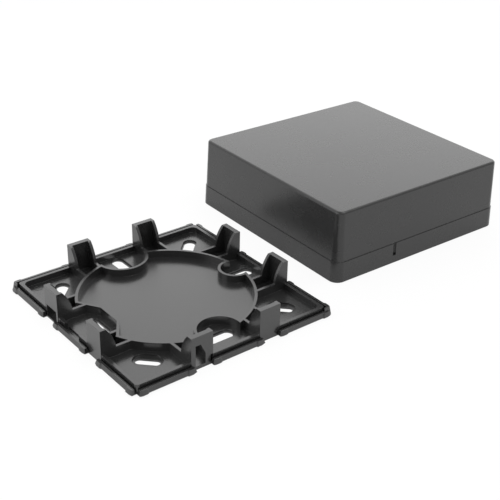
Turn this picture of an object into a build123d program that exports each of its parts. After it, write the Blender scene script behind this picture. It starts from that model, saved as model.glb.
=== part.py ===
"""Small square plastic housing: a mounting base and the plain cover that clips over it.

Both pieces are injection moulded.  The base is a shallow tray: a floor with a raised rim, a thin
outer lip in segments, a low ring wall round a plain disc, ribs, fixing slots and eight upright
tabs that grip the inside of the cover.  The cover lies beside it, open side down.

Units are millimetres.  The origin is the centre of the base's underside, +Z is up, and the cover
lies towards +X.
"""

from build123d import *
from math import atan, degrees
import os

os.makedirs("parts", exist_ok=True)

# ---- Cover ----
cover_side = 85.6          # outer width at the open edge
cover_height = 28.25
cover_wall = 1.7           # side wall at the open edge
cover_top_wall = 2.0
cover_corner = 3.95        # upright corner radius at the open edge
cover_draft = 2.1          # degrees, each side
cover_top_edge = 1.0       # rounding round the top
cover_foot_bevel = 0.3
band_height = 8.3          # plain band round the foot of the cover
band_step = 0.25           # how far the band stands proud of the wall above it
notch_width = 1.5          # upright release slot through the near wall
notch_length = 5.4
notch_foot = 3.3           # height of its lower end
notch_offset = -13.4       # from the middle of the near wall, towards +X

# ---- Where the cover lies beside the base ----
cover_x = 98.7
cover_y = 18.15
cover_turn = -1.3          # degrees

# ---- Base: floor, rim and outer lip ----
fit_clearance = 0.3        # between the lip's end pads and the inside of the cover
pad_proud = 0.4            # pads at the ends of each lip segment
pad_length = 3.2
pad_bevel = 1.3
lip_wall = 1.35            # at the bead, where the lip is thickest
lip_lean = 0.5             # how far the outside of the lip leans in from the bead to the top
bead_height = 0.6
bead_undercut = 0.5        # how far the outside leans in from the bead to the underside
near_lip_height = 2.2      # lip along the -X and -Y sides
far_lip_height = 3.5       # lip along the +X and +Y sides
corner_overrun = 1.2       # how far the lip runs on past the rim at the two closed corners
groove_width = 0.5         # between the lip and the rim
groove_floor = 0.7         # left under the groove
rim_wall = 1.25
rim_height = 3.5
rim_corner = 1.2           # outside corner radius of the rim
pocket_corner = 2.2        # inside corner radius of the rim
floor = 1.3

# ---- Base: tabs ----
tab_spacing = 27.7         # between the middles of the two tabs on one side
tab_width = 8.55
tab_height = 12.3
tab_plate = 1.9            # upright outer plate of a tab
tab_proud = 0.15           # how far the plate stands out from the rim
tab_top_round = 0.5
tab_gap = 6.4              # break in the lip in front of each tab
web_wall = 1.1             # end webs of a tab, and the ribs that run inwards from them
web_top_depth = 2.7        # depth of a web at its top, outer plate included
web_foot_depth = 5.8       # depth of a web where it meets its rib
web_bulge = 0.4            # how far the free edge of a web bows outwards

# ---- Base: openings in the plates of two tabs ----
opening_top = 8.95
open_corner_height = 4.45  # height of the corner left open at the edge of each of the two tabs
wide_strip = 0.4           # plate left beside the wide opening, on the -X side
wide_slope_run = 5.2       # run of its slanted upper edge, in from the edge of the tab
narrow_strip = 1.7         # plate left beside the narrow opening, on the -Y side
narrow_width = 3.85
narrow_slope_run = 1.85    # its cut upper corner
narrow_slope_drop = 3.8
open_corner_width = 0.95   # open corner beyond the narrow opening

# ---- Base: ring wall and disc ----
ring_radius = 31.75        # outside of the ring wall
ring_x = -1.05             # centre of the ring wall, a little towards -X
ring_wall = 1.05
ring_height = 4.6
disc_floor = 1.7           # top of the disc inside the ring wall
recess_px_centre = 28.7    # recess in the ring on the +X side
recess_px_radius = 5.05
recess_py_centre = 31.4    # the same on the +Y side
recess_py_radius = 8.95
recess_ny_centre = 29.5    # the same on the -Y side
recess_ny_radius = 7.7
flat_recess_x = 24.7       # flat bottom of the recess on the -X side
flat_recess_bottom = 10.3  # length of that bottom
flat_recess_depth = 5.15   # from the bottom out to where the mouth is measured
flat_recess_mouth = 26.0
flat_recess_round = 1.2    # rounding of its inner corners

# ---- Base: fixing slots ----
slot_width = 4.2
slot_length = 10.8
slot_ledge = 0.45          # width of the step round each slot
slot_ledge_depth = 0.6
short_slot_width = 2.9     # slots in the -X -Y and the +X -Y corners
short_slot_length = 8.4
short_recess_width = 7.2   # shallow recess round each short slot
short_recess_length = 10.2
side_slot_radius = 29.0    # middle of the slots along the -X and -Y sides
inward_slot_radius = 31.0  # middle of the slots that point inwards from +X and +Y
corner_slot_offset = 27.9  # middle of the long corner slots, along X and along Y
short_slot_offset = 26.7   # middle of the short slot in the -X -Y corner
short_slot_x = 28.1        # middle of the short slot in the +X -Y corner
short_slot_y = -27.4

# ---- Worked out from the sizes above ----
inner_half = cover_side / 2 - cover_wall
pad_half = inner_half - fit_clearance
lip_half = pad_half - pad_proud
groove_half = lip_half - lip_wall
rim_half = groove_half - groove_width
pocket_half = rim_half - rim_wall
tab_half = rim_half + tab_proud
closed_corner = tab_half + corner_overrun
ring_inside = ring_radius - ring_wall
tab_offset = tab_spacing / 2
turn_px, turn_py, turn_nx, turn_ny = 0, 90, 180, 270
sides = (turn_px, turn_py, turn_nx, turn_ny)


def side_plane(turn, height=0.0):
    """Plane level with the floor whose local X points out through one side of the base."""
    return Plane.XY.rotated((0, 0, turn)).offset(height)


def upright_plane(turn, distance):
    """Upright plane parallel to one side: local X runs along the side and local Y is up."""
    outward = Vector(1, 0, 0).rotate(Axis.Z, turn)
    along = Vector(0, 1, 0).rotate(Axis.Z, turn)
    return Plane(origin=outward * distance, x_dir=along, z_dir=outward)


def web_plane(turn, along):
    """Upright plane square to one side: local X points outwards and local Y is up."""
    outward = Vector(1, 0, 0).rotate(Axis.Z, turn)
    sideways = Vector(0, 1, 0).rotate(Axis.Z, turn)
    return Plane(origin=sideways * along, x_dir=outward, z_dir=sideways * -1)


def lip_segment(start, end):
    """Plan of one lip segment at its bead, with a bevelled pad at each end, in its side's frame."""
    Polyline(
        (pocket_half, start),
        (lip_half, start),
        (pad_half, start + pad_bevel),
        (pad_half, start + pad_length),
        (lip_half, start + pad_length + pad_proud),
        (lip_half, end - pad_length - pad_proud),
        (pad_half, end - pad_length),
        (pad_half, end - pad_bevel),
        (lip_half, end),
        (pocket_half, end),
        close=True,
    )


def web_profile():
    """Side view of a web, from the outer face of its tab to its bowed free edge."""
    top = tab_height - tab_top_round
    foot = tab_half - web_foot_depth
    head = tab_half - web_top_depth
    middle = ((foot + head) / 2 - web_bulge, (ring_height + top) / 2 + web_bulge)
    Line((tab_half, 0), (tab_half, tab_height))
    Line((tab_half, tab_height), (head + tab_top_round, tab_height))
    Line((head + tab_top_round, tab_height), (head, top))
    ThreePointArc((head, top), middle, (foot, ring_height))
    Line((foot, ring_height), (foot, 0))
    Line((foot, 0), (tab_half, 0))


def flat_recess():
    """Plan of the straight-sided recess on the -X side, run on past the ring wall."""
    mouth_x = -flat_recess_x - flat_recess_depth
    FilletPolyline(
        (-2 * ring_radius, flat_recess_mouth / 2),
        (mouth_x, flat_recess_mouth / 2),
        (-flat_recess_x, flat_recess_bottom / 2),
        (-flat_recess_x, -flat_recess_bottom / 2),
        (mouth_x, -flat_recess_mouth / 2),
        (-2 * ring_radius, -flat_recess_mouth / 2),
        radius=flat_recess_round,
        close=True,
    )


def rib_start(turn, along):
    """How far out from the middle the ring wall stands where a rib meets it."""
    centre = Vector(ring_x, 0, 0).rotate(Axis.Z, -turn)
    reach = centre.X + (ring_inside ** 2 - (along - centre.Y) ** 2) ** 0.5
    if turn == turn_nx and abs(along) < flat_recess_mouth / 2:
        slope = flat_recess_depth / (flat_recess_mouth - flat_recess_bottom) * 2
        reach = flat_recess_x + (abs(along) - flat_recess_bottom / 2) * slope - ring_wall
    return reach + ring_wall / 2


# ---- Base ----
with BuildPart() as base:
    # Floor, out to the outside of the rim.
    with BuildSketch(Plane.XY):
        RectangleRounded(2 * rim_half, 2 * rim_half, rim_corner)
    extrude(amount=floor)

    # Outer lip: a corner segment, a middle segment and another corner segment on each side.
    near_tab = tab_offset - tab_gap / 2
    past_tab = tab_offset + tab_gap / 2
    lips = (
        (turn_px, -closed_corner, tab_half, far_lip_height),
        (turn_py, -tab_half, closed_corner, far_lip_height),
        (turn_nx, -closed_corner, tab_half, near_lip_height),
        (turn_ny, -tab_half, closed_corner, near_lip_height),
    )
    for turn, first, last, height in lips:
        rise = height - bead_height
        for amount, lean in ((rise, lip_lean), (-bead_height, bead_undercut)):
            with BuildSketch(side_plane(turn, bead_height)):
                for start, end in ((first, -past_tab), (-near_tab, near_tab), (past_tab, last)):
                    with BuildLine():
                        lip_segment(start, end)
                    make_face()
            extrude(amount=amount, taper=degrees(atan(lean / abs(amount))))

    # Groove between the lip and the rim.
    with BuildSketch(Plane.XY.offset(groove_floor)):
        Rectangle(2 * groove_half, 2 * groove_half)
        RectangleRounded(2 * rim_half, 2 * rim_half, rim_corner, mode=Mode.SUBTRACT)
    extrude(amount=rim_height, mode=Mode.SUBTRACT)

    # Rim.
    with BuildSketch(Plane.XY):
        RectangleRounded(2 * rim_half, 2 * rim_half, rim_corner)
        RectangleRounded(2 * pocket_half, 2 * pocket_half, pocket_corner, mode=Mode.SUBTRACT)
    extrude(amount=rim_height)
    with BuildSketch(Plane.XY.offset(floor)):
        RectangleRounded(2 * pocket_half, 2 * pocket_half, pocket_corner)
    extrude(amount=rim_height, mode=Mode.SUBTRACT)

    # Ring wall and the disc inside it: the same outline, full size and then less the wall.
    for base_height, shrink, mode in ((0, 0, Mode.ADD), (disc_floor, ring_wall, Mode.SUBTRACT)):
        with BuildSketch(Plane.XY.offset(base_height)):
            with Locations((ring_x, 0)):
                Circle(ring_radius)
            with Locations((recess_px_centre, 0)):
                Circle(recess_px_radius, mode=Mode.SUBTRACT)
            with Locations((0, recess_py_centre)):
                Circle(recess_py_radius, mode=Mode.SUBTRACT)
            with Locations((0, -recess_ny_centre)):
                Circle(recess_ny_radius, mode=Mode.SUBTRACT)
            with BuildLine():
                flat_recess()
            make_face(mode=Mode.SUBTRACT)
            if shrink:
                offset(amount=-shrink, mode=Mode.REPLACE)
        extrude(amount=ring_height, mode=mode)

    # Tabs: an outer plate, two webs behind it and two ribs from the webs to the ring wall.
    for turn in sides:
        for middle in (-tab_offset, tab_offset):
            with BuildSketch(upright_plane(turn, tab_half)):
                with Locations((middle, tab_height / 2)):
                    Rectangle(tab_width, tab_height)
            extrude(amount=-tab_plate)
            for web in (-1, 1):
                web_middle = middle + web * (tab_width - web_wall) / 2
                with BuildSketch(web_plane(turn, web_middle)):
                    with BuildLine():
                        web_profile()
                    make_face()
                extrude(amount=web_wall / 2, both=True)
                rib_end = rib_start(turn, web_middle)
                rib_length = rim_half - rib_end
                with BuildSketch(side_plane(turn)):
                    with Locations((rib_end + rib_length / 2, web_middle)):
                        Rectangle(rib_length, web_wall)
                extrude(amount=ring_height)

    # Fixing slots, each in a shallow recess.
    long_slot = (slot_length, slot_width, slot_length + 2 * slot_ledge, slot_width + 2 * slot_ledge)
    short_slot = (short_slot_length, short_slot_width, short_recess_length, short_recess_width)
    slots = (
        (-side_slot_radius, 0, 90, long_slot),
        (0, -side_slot_radius, 0, long_slot),
        (inward_slot_radius, 0, 0, long_slot),
        (0, inward_slot_radius, 90, long_slot),
        (corner_slot_offset, corner_slot_offset, 45, long_slot),
        (-corner_slot_offset, corner_slot_offset, 45, long_slot),
        (-short_slot_offset, -short_slot_offset, -45, short_slot),
        (short_slot_x, short_slot_y, -45, short_slot),
    )
    for slot_x, slot_y, slot_turn, (length, width, recess_length, recess_width) in slots:
        with BuildSketch(Plane.XY):
            with Locations((slot_x, slot_y)):
                SlotOverall(length, width, rotation=slot_turn)
        extrude(amount=floor, mode=Mode.SUBTRACT)
        with BuildSketch(Plane.XY.offset(floor - slot_ledge_depth)):
            with Locations((slot_x, slot_y)):
                SlotOverall(recess_length, recess_width, rotation=slot_turn)
        extrude(amount=slot_ledge_depth, mode=Mode.SUBTRACT)

    # Wide opening under a slanted edge in a tab on the -X side, open at the tab's edge,
    # with the floor between its webs thinned to the level of the groove.
    half_tab = tab_width / 2
    with BuildSketch(upright_plane(turn_nx, tab_half)):
        with Locations((-tab_offset, 0)):
            with BuildLine():
                Polyline(
                    (half_tab - wide_strip, groove_floor),
                    (half_tab - wide_strip, opening_top),
                    (wide_slope_run - half_tab, opening_top),
                    (-half_tab, open_corner_height),
                    (-half_tab - corner_overrun, open_corner_height),
                    (-half_tab - corner_overrun, groove_floor),
                    close=True,
                )
            make_face()
    extrude(amount=-tab_plate, mode=Mode.SUBTRACT)
    with BuildSketch(side_plane(turn_nx, groove_floor)):
        with Locations((tab_half - web_foot_depth / 2, -tab_offset)):
            Rectangle(web_foot_depth, tab_width - 2 * web_wall)
    extrude(amount=open_corner_height, mode=Mode.SUBTRACT)

    # Narrow opening with a cut corner in a tab on the -Y side, and its open lower corner.
    with BuildSketch(upright_plane(turn_ny, tab_half)):
        with BuildLine():
            left = -tab_offset - half_tab + narrow_strip
            right = left + narrow_width
            Polyline(
                (left, floor),
                (left, opening_top),
                (right - narrow_slope_run, opening_top),
                (right, opening_top - narrow_slope_drop),
                (right, floor),
                close=True,
            )
        make_face()
        with Locations((half_tab - tab_offset - open_corner_width / 2, open_corner_height / 2)):
            Rectangle(open_corner_width, open_corner_height - 2 * groove_floor)
    extrude(amount=-tab_plate, mode=Mode.SUBTRACT)

base.part.label = "base"
export_step(base.part, "parts/base.step")

# ---- Cover ----
cover_seat = Plane.XY.rotated((0, 0, cover_turn)).move(Location((cover_x, cover_y, 0)))
cover_half = cover_side / 2
upper_half = cover_half - band_step

with BuildPart() as cover:
    with BuildSketch(cover_seat):
        RectangleRounded(2 * upper_half, 2 * upper_half, cover_corner - band_step)
    extrude(amount=cover_height, taper=cover_draft)
    fillet(cover.faces().sort_by(Axis.Z)[-1].edges(), cover_top_edge)
    with BuildSketch(cover_seat):
        RectangleRounded(cover_side, cover_side, cover_corner)
    extrude(amount=band_height, taper=cover_draft)
    chamfer(cover.faces().sort_by(Axis.Z)[0].edges(), cover_foot_bevel)
    with BuildSketch(cover_seat):
        RectangleRounded(2 * inner_half, 2 * inner_half, cover_corner - cover_wall)
    extrude(amount=cover_height - cover_top_wall, taper=cover_draft, mode=Mode.SUBTRACT)
    with BuildSketch(cover_seat.offset(notch_foot)):
        with Locations((notch_offset, -cover_half)):
            Rectangle(notch_width, 4 * cover_wall)
    extrude(amount=notch_length, mode=Mode.SUBTRACT)

cover.part.label = "cover"
export_step(cover.part, "parts/cover.step")
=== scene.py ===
"""Small square moulded housing in black plastic: a mounting base with its cover beside it."""

import math

import bmesh
import bpy
from mathutils import Matrix, Vector


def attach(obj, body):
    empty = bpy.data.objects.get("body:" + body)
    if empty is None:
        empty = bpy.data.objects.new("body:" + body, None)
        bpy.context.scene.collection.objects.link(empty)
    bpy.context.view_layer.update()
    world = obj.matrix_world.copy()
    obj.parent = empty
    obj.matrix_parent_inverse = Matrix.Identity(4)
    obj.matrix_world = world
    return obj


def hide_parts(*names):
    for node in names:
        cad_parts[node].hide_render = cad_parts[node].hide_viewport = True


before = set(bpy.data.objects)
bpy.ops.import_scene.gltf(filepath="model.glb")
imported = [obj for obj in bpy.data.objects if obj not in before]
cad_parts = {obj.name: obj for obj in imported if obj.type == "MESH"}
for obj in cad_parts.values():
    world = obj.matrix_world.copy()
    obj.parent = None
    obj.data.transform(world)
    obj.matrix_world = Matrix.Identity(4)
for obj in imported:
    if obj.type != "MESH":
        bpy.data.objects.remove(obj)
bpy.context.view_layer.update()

MM = 0.001

# ---- Moulded edges ----
WELD_DISTANCE = 0.001 * MM
FLAT_ANGLE = 0.5               # degrees; faces within this count as one flat
EDGE_BREAK = 0.16 * MM         # softening of moulded edges
EDGE_STEPS = 2
EDGE_ANGLE = 28                # degrees; flatter joins stay as they are
LARGE_FACE_LEAD = 80           # how much a large face leads the shading at its corners

# ---- Ejector-pin marks: fine raised circles on the pocket floors ----
PIN_RADIUS = 1.4 * MM
PIN_STEPS = 48
PIN_RIM = 0.12 * MM            # width of the raised circle
PIN_RISE = 0.12 * MM           # half of it is sunk in the floor
PIN_FLOOR = 1.3 * MM           # top of the pocket floors
PIN_PLACES = ((-33.0, 34.2), (35.7, 2.3))

# ---- Plastic; noise scales are waves per metre ----
CLOUD_SCALE = 38.0             # slow change of tone over a face
FLOW_SCALE = 150.0             # marks of the plastic's flow
GRAIN_SCALE = 5200.0           # grain of the mould
CLOUD_SHARE = 0.6
FLOW_SHARE = 0.4
ROUGHNESS_SPREAD = 0.1         # between the smoothest and the roughest patches
GRAIN_STRENGTH = 0.35

# ---- Floor and light tent ----
FLOOR_REACH = 4.0              # metres from the middle to each side
FLOOR_WHITE = 0.9
FLOOR_GLOW_SEEN = 0.92         # share of plain white in the floor as seen directly
FLOOR_GLOW_REFLECTED = 0.6     # the same as seen in the plastic
SKY_LEVEL = 0.65
SKY_BACK_LEVEL = 1.35          # added towards the back of the tent
SKY_BACK = (0.62, 0.78, 0.0)
SOFTBOX_SIDE = 0.7             # metres

# ---- Camera ----
CAMERA_PLACE = (-172.47 * MM, -257.48 * MM, 189.72 * MM)
CAMERA_TURN = -38.98           # degrees round Z
CAMERA_PITCH = 28.53           # degrees below level
CAMERA_ROLL = 1.31             # degrees
CAMERA_LENS = 74.01            # mm
CAMERA_SENSOR = 36.0           # mm


# ---- Node arithmetic ----
class Part:
    """A socket that + and * work on; each operation adds its Math node."""

    def __init__(self, board, socket):
        self.board = board
        self.socket = socket

    def op(self, operation, other):
        return self.board.add("ShaderNodeMath", {"operation": operation}, self, other)

    def __add__(self, other):
        return self.op("ADD", other)

    __radd__ = __add__

    def __mul__(self, other):
        return self.op("MULTIPLY", other)

    def clamp(self):
        limited = self * 1.0
        limited.socket.node.use_clamp = True
        return limited

    def output(self, name):
        """Another output of the node that this socket belongs to."""
        return Part(self.board, shown(self.socket.node.outputs, name))


def shown(sockets, name):
    """The first socket in use that has that name, or the first in use where the name is None."""
    return next((socket for socket in sockets if socket.enabled and name in (None, socket.name)), None)


class Board:
    """A node tree, with one method that adds any node."""

    def __init__(self, tree):
        self.tree = tree
        tree.nodes.clear()

    def add(self, kind, settings=None, *values, out=None, **named):
        """Adds a node: its settings first, then the values or links of its sockets."""
        node = self.tree.nodes.new(kind)
        for key, value in (settings or {}).items():
            setattr(node, key, value)
        pairs = list(zip(node.inputs, values))
        pairs += [(shown(node.inputs, name.replace("_", " ")), value) for name, value in named.items()]
        for socket, value in pairs:
            if isinstance(value, Part):
                self.tree.links.new(value.socket, socket)
            else:
                socket.default_value = value
        return Part(self, shown(node.outputs, out))


# ---- Materials ----
def grey(level):
    return (level, level, level, 1.0)


def new_material(name):
    made = bpy.data.materials.new(name)
    made.use_nodes = True
    return made, Board(made.node_tree)


def moulded_plastic(name, dark, pale, roughness, grain_depth, ior):
    """Near-black moulded plastic with fine grain, slow changes of tone and faint flow marks."""
    made, board = new_material(name)
    place = board.add("ShaderNodeTexCoord", out="Object")
    cloud = board.add(
        "ShaderNodeTexNoise", {}, out="Fac",
        Vector=place, Scale=CLOUD_SCALE, Detail=3.0, Roughness=0.55,
    )
    flow = board.add(
        "ShaderNodeTexNoise", {}, out="Fac",
        Vector=place, Scale=FLOW_SCALE, Detail=4.0, Roughness=0.6, Distortion=0.6,
    )
    grain = board.add(
        "ShaderNodeTexNoise", {}, out="Fac",
        Vector=place, Scale=GRAIN_SCALE, Detail=2.0, Roughness=0.6,
    )
    patches = (cloud * CLOUD_SHARE + flow * FLOW_SHARE).clamp()
    colour = board.add(
        "ShaderNodeMix", {"data_type": "RGBA"}, out="Result",
        Factor=patches, A=grey(dark), B=grey(pale),
    )
    relief = board.add(
        "ShaderNodeBump", {}, out="Normal",
        Strength=GRAIN_STRENGTH, Distance=grain_depth, Height=grain,
    )
    shader = board.add(
        "ShaderNodeBsdfPrincipled", {}, out="BSDF",
        Base_Color=colour,
        Roughness=roughness - ROUGHNESS_SPREAD / 2 + patches * ROUGHNESS_SPREAD,
        IOR=ior,
        Normal=relief,
    )
    board.add("ShaderNodeOutputMaterial", {}, shader)
    return made


def white_paper():
    """Matt white that looks plain white to the camera and bright in the plastic's reflections."""
    made, board = new_material("white paper")
    seen = board.add("ShaderNodeLightPath", out="Is Camera Ray")
    reflected = seen.output("Is Glossy Ray")
    matt = board.add("ShaderNodeBsdfDiffuse", {}, grey(FLOOR_WHITE))
    glow = board.add("ShaderNodeEmission", {}, grey(1.0), 1.0)
    share = seen * FLOOR_GLOW_SEEN + reflected * FLOOR_GLOW_REFLECTED
    mixed = board.add("ShaderNodeMixShader", {}, share, matt, glow)
    board.add("ShaderNodeOutputMaterial", {}, mixed)
    return made


# ---- Pieces ----
def settled(piece):
    """The piece with its modifiers turned into a plain mesh."""
    bpy.context.view_layer.update()
    evaluated = piece.evaluated_get(bpy.context.evaluated_depsgraph_get())
    plain = bpy.data.meshes.new_from_object(evaluated)
    plain.name = piece.name
    piece.modifiers.clear()
    piece.data = plain
    return piece


def softened(node, name, merge_flats):
    """A copy of a moulded piece with broken edges; merged flats keep many-sided walls evenly shaded."""
    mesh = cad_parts[node].data.copy()
    mesh.name = name
    work = bmesh.new()
    work.from_mesh(mesh)
    bmesh.ops.remove_doubles(work, verts=work.verts, dist=WELD_DISTANCE)
    if merge_flats:
        flat = math.radians(FLAT_ANGLE)
        bmesh.ops.dissolve_limit(work, angle_limit=flat, verts=work.verts, edges=work.edges)
    work.to_mesh(mesh)
    work.free()
    mesh.materials.clear()
    for face in mesh.polygons:
        face.use_smooth = True
    piece = bpy.data.objects.new(name, mesh)
    bpy.context.scene.collection.objects.link(piece)
    bevel = piece.modifiers.new("edge break", "BEVEL")
    bevel.width = EDGE_BREAK
    bevel.segments = EDGE_STEPS
    bevel.limit_method = "ANGLE"
    bevel.angle_limit = math.radians(EDGE_ANGLE)
    shading = piece.modifiers.new("large faces lead", "WEIGHTED_NORMAL")
    shading.mode = "FACE_AREA"
    shading.weight = LARGE_FACE_LEAD
    triangles = piece.modifiers.new("triangles", "TRIANGULATE")
    triangles.keep_custom_normals = True
    return settled(piece)


def pin_marks(name, finish):
    """The circles that the mould's ejector pins leave, one at each place, by Geometry Nodes."""
    sizes = {"Radius": PIN_RADIUS, "Rim": PIN_RIM, "Height": PIN_RISE}
    tree = bpy.data.node_groups.new("ejector-pin marks", "GeometryNodeTree")
    tree.interface.new_socket("Geometry", in_out="INPUT", socket_type="NodeSocketGeometry")
    identifiers = {
        label: tree.interface.new_socket(label, in_out="INPUT", socket_type="NodeSocketFloat").identifier
        for label in sizes
    }
    tree.interface.new_socket("Geometry", in_out="OUTPUT", socket_type="NodeSocketGeometry")
    board = Board(tree)
    given = board.add("NodeGroupInput", out="Geometry")
    circle = board.add(
        "GeometryNodeCurvePrimitiveCircle", {}, out="Curve",
        Resolution=PIN_STEPS, Radius=given.output("Radius"),
    )
    section = board.add(
        "GeometryNodeCurvePrimitiveQuadrilateral", {"mode": "RECTANGLE"}, out="Curve",
        Width=given.output("Rim"), Height=given.output("Height"),
    )
    ring = board.add("GeometryNodeCurveToMesh", {}, out="Mesh", Curve=circle, Profile_Curve=section)
    points = board.add("GeometryNodeMeshToPoints", {}, out="Points", Mesh=given)
    marks = board.add("GeometryNodeInstanceOnPoints", {}, out="Instances", Points=points, Instance=ring)
    whole = board.add("GeometryNodeRealizeInstances", {}, out="Geometry", Geometry=marks)
    coated = board.add("GeometryNodeSetMaterial", {}, out="Geometry", Geometry=whole, Material=finish)
    board.add("NodeGroupOutput", {}, coated)
    mesh = bpy.data.meshes.new(name)
    mesh.from_pydata([(x * MM, y * MM, PIN_FLOOR) for x, y in PIN_PLACES], [], [])
    piece = bpy.data.objects.new(name, mesh)
    bpy.context.scene.collection.objects.link(piece)
    maker = piece.modifiers.new("marks", "NODES")
    maker.node_group = tree
    for label, size in sizes.items():
        maker[identifiers[label]] = size
    return settled(piece)


base_finish = moulded_plastic("base plastic", 0.013, 0.020, 0.24, 0.008 * MM, 1.66)
cover_finish = moulded_plastic("cover plastic", 0.016, 0.025, 0.27, 0.006 * MM, 1.5)

moulded_pieces = (
    ("base", base_finish, "base_plastic", True),
    ("cover", cover_finish, "cover_plastic", False),
)
for node, finish, slot, merge_flats in moulded_pieces:
    piece = softened(node, node + "_shell", merge_flats)
    piece.data.materials.append(finish)
    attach(piece, "root")
    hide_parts(node)

marks = pin_marks("ejector_pin_marks", base_finish)
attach(marks, "root")

# ---- Floor ----
floor_corners = [(x * FLOOR_REACH, y * FLOOR_REACH, 0) for x, y in ((-1, -1), (1, -1), (1, 1), (-1, 1))]
floor_mesh = bpy.data.meshes.new("floor")
floor_mesh.from_pydata(floor_corners, [], [(0, 1, 2, 3)])
floor_mesh.materials.append(white_paper())
floor = bpy.data.objects.new("floor", floor_mesh)
bpy.context.scene.collection.objects.link(floor)


# ---- Light ----
def light_tent():
    """A pale tent, brighter at the back, that the camera sees as plain white."""
    world = bpy.data.worlds.new("light tent")
    world.use_nodes = True
    board = Board(world.node_tree)
    direction = board.add("ShaderNodeTexCoord", out="Generated")
    facing = board.add("ShaderNodeVectorMath", {"operation": "DOT_PRODUCT"}, direction, SKY_BACK, out="Value")
    tent = board.add("ShaderNodeBackground", {}, grey(1.0), SKY_LEVEL + facing.clamp() * SKY_BACK_LEVEL)
    white = board.add("ShaderNodeBackground", {}, grey(1.0), 1.0)
    seen = board.add("ShaderNodeLightPath", out="Is Camera Ray")
    mixed = board.add("ShaderNodeMixShader", {}, seen, tent, white)
    board.add("ShaderNodeOutputWorld", {}, mixed)
    return world


def softbox(name, place, aim, watts):
    light = bpy.data.lights.new(name, "AREA")
    light.shape = "SQUARE"
    light.size = SOFTBOX_SIDE
    light.energy = watts
    lamp = bpy.data.objects.new(name, light)
    lamp.location = place
    lamp.rotation_euler = (Vector(aim) - Vector(place)).to_track_quat("-Z", "Y").to_euler()
    bpy.context.scene.collection.objects.link(lamp)


bpy.context.scene.world = light_tent()
softbox("left softbox", place=(-0.9, 0.35, 0.45), aim=(0, 0, 0), watts=4.0)
softbox("top softbox", place=(0.35, -0.45, 1.1), aim=(0.08, -0.08, 0), watts=4.5)


# ---- Camera ----
def camera_stance(turn, pitch, roll):
    """The camera's place and attitude as a matrix, from its angles in radians."""
    ahead = Vector((-math.sin(turn) * math.cos(pitch), math.cos(turn) * math.cos(pitch), -math.sin(pitch)))
    level = Vector((math.cos(turn), math.sin(turn), 0))
    upright = level.cross(ahead)
    side = math.cos(roll) * level + math.sin(roll) * upright
    top = -math.sin(roll) * level + math.cos(roll) * upright
    return Matrix.Translation(CAMERA_PLACE) @ Matrix((side, top, -ahead)).transposed().to_4x4()


lens = bpy.data.cameras.new("camera")
lens.lens = CAMERA_LENS
lens.sensor_width = CAMERA_SENSOR
camera = bpy.data.objects.new("camera", lens)
camera.matrix_world = camera_stance(*map(math.radians, (CAMERA_TURN, CAMERA_PITCH, CAMERA_ROLL)))
bpy.context.scene.collection.objects.link(camera)
bpy.context.scene.camera = camera

bpy.context.scene.view_settings.view_transform = "Standard"
